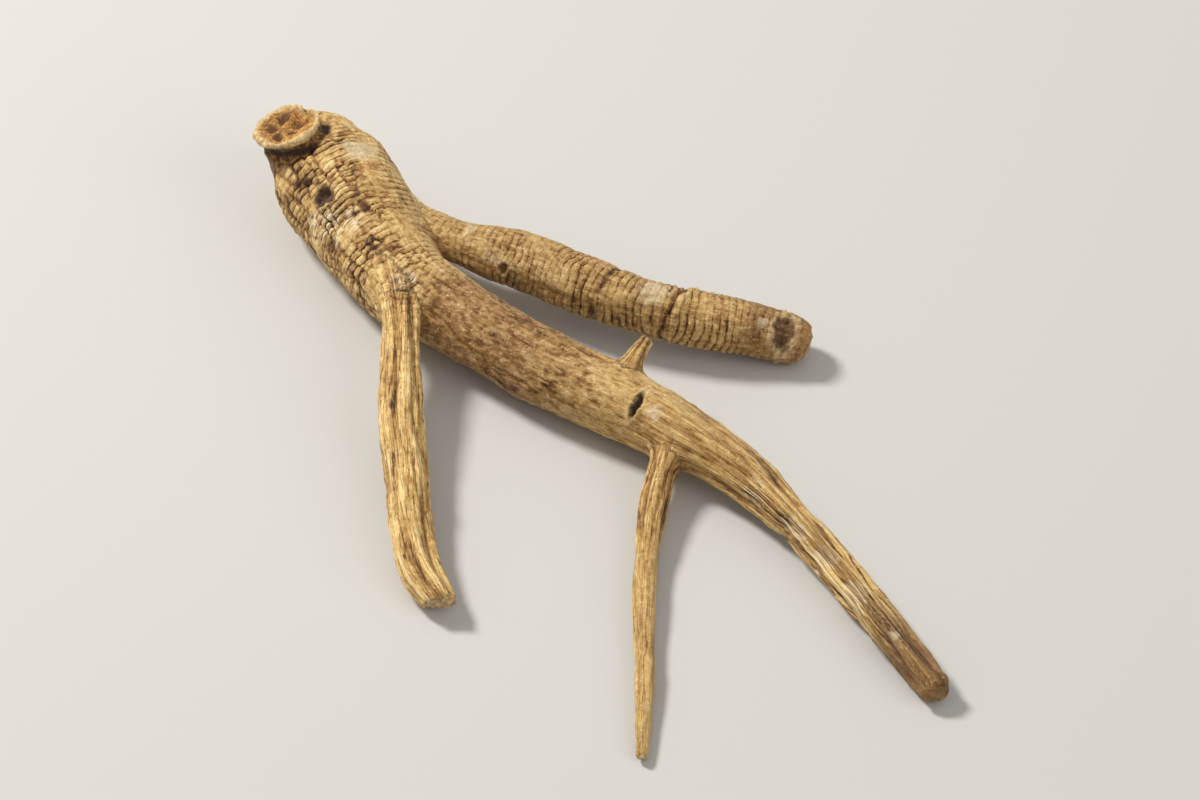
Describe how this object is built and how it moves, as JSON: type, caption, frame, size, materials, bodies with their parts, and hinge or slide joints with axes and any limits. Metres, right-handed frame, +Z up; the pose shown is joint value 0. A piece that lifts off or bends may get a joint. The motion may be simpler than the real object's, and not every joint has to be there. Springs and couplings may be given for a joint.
{
  "type": "ginseng root",
  "caption": "Dried forked ginseng root with a ringed body, an arm, legs and a slender rootlet, lying flat, for food and herb scenes.",
  "frame": {"origin": "under the middle of the root's bounding box, on the surface that it lies on", "axes": "+Z up; +Y along the root's longest extent, with the neck at the +Y end and the rootlet's tip at the -Y end; +X towards the tips of the arm and the thick leg"},
  "size_m": [0.0879, 0.1099, 0.017],
  "materials": {
    "root_skin": "matte dried root skin, ringed and furrowed"
  },
  "bodies": {
    "root": {"ginseng_root": "root_skin"}
  },
  "joints": []
}
